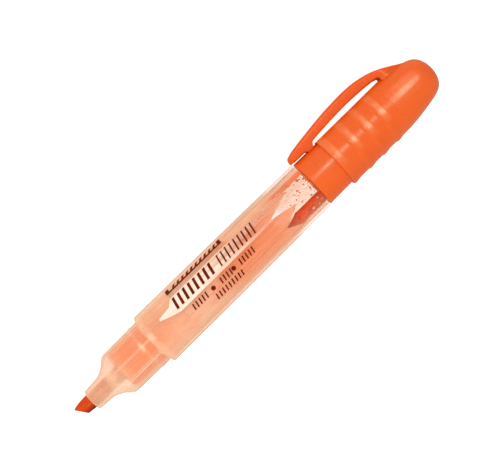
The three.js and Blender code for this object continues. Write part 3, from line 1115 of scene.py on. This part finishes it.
def button(u, turn, size, base, rings, sides):
    """A small round body on a surface that is base mm from the axis. rings are how wide it is, as
    shares of its size, at each of some distances from the axis."""
    loops = []
    for share, radius in rings:
        loop = []
        for k in range(sides if share else 1):
            angle = WHOLE * k / sides
            way = turn + size * share * math.sin(angle) / base
            loop.append(polar(u + size * share * math.cos(angle), radius, way))
        loops.append(loop)
    return loft(loops, False)


def dot(u, y, size):
    """A round dot of print."""
    base = barrel_radius(u)
    low, high = [base + lift for lift in PRINT_LIFTS]
    rings = [(0, low), (0.5, low), (1, low), (1, high), (0.5, high), (0, high)]
    return button(u, arc_of(u, y) / base, size, base, rings, 20)


def print_marks():
    """Rows of plain strokes, dots and a barred rule. They stand for print and spell nothing."""
    parts = [block(RULE_FRONT, RULE_LENGTH, RULE_ROW, 12, 2)]
    for u in (RULE_FRONT, RULE_FRONT + RULE_LENGTH - BLOCK_LENGTH):
        parts.append(block(u, BLOCK_LENGTH, BLOCK_ROW, 2, 4))
    parts += strokes(48.2, 1.9, 10, BAR_ROW, 0.9, slant=0.5)
    parts += strokes(45.2, 2.12, 8, BOLD_ROW, 0.95)
    parts += strokes(63.7, 1.75, 9, LIGHT_ROW, 0.55)
    for start, count in ((48.9, 5), (60.3, 4), (68.3, 5)):
        parts += strokes(start, 1.3, count, SMALL_ROW, 0.5)
    for u in (57.4, 65.9):
        parts.append(dot(u, -1.35, 0.75))
    parts += strokes(56.1, 1.3, 9, LAST_ROW, 0.5)
    return joined(parts)


def pale_flash():
    """A pale stroke like a marker's, with a slanted point and a straight lower edge."""
    low, high = FLASH_ROW
    front, rear = 45.6, 92
    neck_low, neck_high = (42.2, 1.5), (43.8, 3.9)
    body = [(front, low), (rear, low), (rear, high), (front, high)]
    shoulder = [neck_low, (front, low), (front, high), neck_high]
    point = [(38.9, 2.7), neck_low, neck_high, (39.2, 3.4)]
    return joined([
        printed(body, FLASH_LIFTS, 24, 12),
        printed(shoulder, FLASH_LIFTS, 8, 10),
        printed(point, FLASH_LIFTS, 6, 8),
    ])


# Ink on the barrel's bore


def bore_radius(u):
    return barrel_radius(u) - BARREL_WALL


def ink_patch(valley, low, high):
    """Ink that clings to the bore between two of the film's teeth and back to the tail. Angles are
    in degrees from z towards the clip."""
    def corner(u, degrees):
        return (u, bore_radius(u) * math.radians(degrees))
    shoulder = 90.6
    fan = [
        corner(INK_FRONT, valley - 0.4), corner(shoulder, low),
        corner(shoulder, high), corner(INK_FRONT, valley + 0.4),
    ]
    band = [corner(shoulder, low), corner(INK_REAR, low), corner(INK_REAR, high), corner(shoulder, high)]
    return joined([patch(fan, INK_LIFTS, bore_radius, 12, 10), patch(band, INK_LIFTS, bore_radius, 16, 10)])


def veil_mesh():
    """A thin veil of ink left all round the bore behind the film."""
    ends = [(u, bore_radius(u) - 0.12) for u in (VEIL_FRONT, INK_REAR)]
    return turned([*ends, *[(u, radius - 0.04) for u, radius in reversed(ends)]])


def droplet(u, degrees, size, inset=0.02):
    """A flat round drop on the bore. inset is how far in from the bore it starts."""
    base = bore_radius(u) - inset
    bulge = [(0, 0), (1, 0), (0.85, 0.35), (0.5, 0.75), (0, 1)]  # share of its size, of its height
    rings = [(share, base - 0.45 * size * height) for share, height in bulge]
    return button(u, math.radians(degrees), size, base, rings, 14)


def droplets():
    """Drops of ink scattered over the clear rear of the bore, and a few large ones."""
    scatter = random.Random(7)
    parts = []
    for _ in range(46):
        u = 101 - 12 * scatter.random() ** 1.6
        degrees = -14 + 50 * scatter.random()
        parts.append(droplet(u, degrees, 0.1 + 0.16 * scatter.random()))
    parts += [droplet(*drop) for drop in LARGE_DROPS]
    return joined(parts)


def bubbles():
    """Bubbles between the deep ink and the bore."""
    return joined([droplet(*bubble, inset=0.005) for bubble in BUBBLES])


# The object

pieces = [  # name, mesh, material, slot, body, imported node, whether light passes through it
    ("barrel_tube", barrel_mesh(), barrel_plastic(), "barrel_clear", "pen", "barrel", True),
    ("front_section_moulding", front_section_mesh(), section_plastic(), "section_clear", "pen",
     "front_section", True),
    ("nib_fibre_wedge", nib_mesh(), nib_fibre(), "nib_fibre", "pen", "chisel_nib", False),
    ("reservoir_fibre_rod", core_mesh(), rod_fibre(), "ink_fibre", "pen", "reservoir_core", False),
    ("reservoir_sleeve", film_mesh(), film_plastic(), "film_clear", "pen", "reservoir_film", True),
    ("breather_capillary", tube_mesh(), tube_plastic(), "breather_plastic", "pen", "breather_tube", False),
    ("tail_post", tail_plug_mesh(), post_plastic(), "cap_orange", "pen", "tail_plug", False),
    ("cap_moulding", cap_shell_mesh(), cap_plastic(), "cap_orange", "cap", "cap_shell", False),
    ("cap_liner_cup", liner_mesh(), liner_plastic(), "liner_natural", "cap_core", "cap_inner_liner", False),
]
for name, mesh_data, material, slot, body, node, clear in pieces:
    make_piece(name, mesh_data, material, body, node, clear)

clip = make_object("cap_clip_blade", clip_mesh(), clip_plastic())
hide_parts("cap_clip")
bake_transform(clip)

surface_pieces = [  # name, mesh, material, slot
    ("print_marks", print_marks(), print_ink(), "barrel_clear"),
    ("print_flash", pale_flash(), pale_print(), "barrel_clear"),
    ("ink_film_low", ink_patch(-32, -56, -19), deep_ink(), "ink_fibre"),
    ("ink_film_high", ink_patch(57, 36, 53), thin_ink(), "ink_fibre"),
    ("ink_veil", veil_mesh(), veil_ink(), "ink_fibre"),
    ("ink_droplets", droplets(), drop_ink(), "ink_fibre"),
    ("ink_bubbles", bubbles(), bubble_ink(), "ink_fibre"),
]
for name, mesh_data, material, slot in surface_pieces:
    make_piece(name, mesh_data, material, clear=True)


# Studio

PEN_MIDDLE = 76
CAMERA_AT = (78.4, 4.37, 363.3)
CAMERA_ROLL = math.radians(44.5)
CAMERA_LENS = 85
FLOOR_REACH = 4.0  # metres
FLOOR_LEVEL = -0.00003  # metres, just under the pen
SKY_SOFT = 0.82  # the world's strength as soft light
SKY_SHINE = 0.3  # and in reflections


def softbox(name, along, across, distance, length, width, watts, shines=True):
    """An area light that makes just highlights, or else just the soft light. Seen from the pen it
    is turned from z by along degrees towards the cap's top and across degrees towards the clip.
    Its length follows the pen. Distance, length and width are in metres."""
    data = bpy.data.lights.new(name, "AREA")
    data.shape = "RECTANGLE"
    data.size = length
    data.size_y = width
    data.energy = watts
    data.color = (1, 0.94, 0.66) if shines else (1, 0.96, 0.78)
    lamp = bpy.data.objects.new(name, data)
    lamp.visible_glossy = shines
    lamp.visible_diffuse = not shines
    bpy.context.scene.collection.objects.link(lamp)
    a, b = math.radians(along), math.radians(across)
    direction = (OUTWARD * math.cos(b) + CLIPWARD * math.sin(b)) * math.cos(a) + AXIS * math.sin(a)
    side = AXIS - direction * AXIS.dot(direction)
    side.normalize()
    turn = Matrix((side, direction.cross(side), direction)).transposed()
    at = place(PEN_MIDDLE, 0, 0) + direction * distance
    lamp.matrix_world = Matrix.Translation(at) @ turn.to_4x4()


def make_sky():
    """An even white sky, weaker in reflections."""
    world = bpy.data.worlds.new("studio")
    world.use_nodes = True
    nodes, links = world.node_tree.nodes, world.node_tree.links
    background = nodes["Background"]
    background.inputs["Color"].default_value = (1, 1, 1, 1)
    ray = nodes.new("ShaderNodeLightPath")
    level = nodes.new("ShaderNodeMapRange")
    level.inputs["To Min"].default_value = SKY_SOFT
    level.inputs["To Max"].default_value = SKY_SHINE
    links.new(ray.outputs["Is Glossy Ray"], level.inputs["Value"])
    links.new(level.outputs["Result"], background.inputs["Strength"])
    bpy.context.scene.world = world


def make_light():
    make_sky()
    softbox("key", 31, 14, 0.55, 0.1, 0.2, 0.9)
    softbox("key_up", 31, 46, 0.55, 0.1, 0.28, 0.26)
    softbox("key_down", 31, -18, 0.55, 0.1, 0.2, 0.05)
    softbox("strip", 7.2, 14, 0.55, 0.03, 0.04, 0.34)
    softbox("front", -3, 12, 0.6, 0.4, 0.4, 0.45, shines=False)
    softbox("fill", -32, 0, 0.6, 0.3, 0.3, 0.4, shines=False)
    softbox("fill_up", -10, 48, 0.6, 0.3, 0.3, 0.45, shines=False)
    softbox("fill_low", -25, -58, 0.6, 0.3, 0.3, 0.5, shines=False)


def make_floor():
    mesh = bpy.data.meshes.new("floor")
    signs = ((-1, -1), (1, -1), (1, 1), (-1, 1))
    mesh.from_pydata([(x * FLOOR_REACH, y * FLOOR_REACH, FLOOR_LEVEL) for x, y in signs], [], [(0, 1, 2, 3)])
    mesh.materials.append(floor_paint())
    floor = bpy.data.objects.new("floor", mesh)
    bpy.context.scene.collection.objects.link(floor)


def make_camera():
    """Square to the clip's middle plane, with the pen across the frame's diagonal."""
    right = AXIS * math.cos(CAMERA_ROLL) - CLIPWARD * math.sin(CAMERA_ROLL)
    up = AXIS * math.sin(CAMERA_ROLL) + CLIPWARD * math.cos(CAMERA_ROLL)
    data = bpy.data.cameras.new("camera")
    data.lens = CAMERA_LENS
    data.sensor_width = 36
    data.clip_end = 20
    camera = bpy.data.objects.new("camera", data)
    turn = Matrix((right, up, OUTWARD)).transposed()
    camera.matrix_world = Matrix.Translation(place(*CAMERA_AT)) @ turn.to_4x4()
    bpy.context.scene.collection.objects.link(camera)
    bpy.context.scene.camera = camera


make_floor()
make_light()
make_camera()
bpy.context.scene.view_settings.view_transform = "Standard"
bpy.context.scene.cycles.transparent_max_bounces = 32
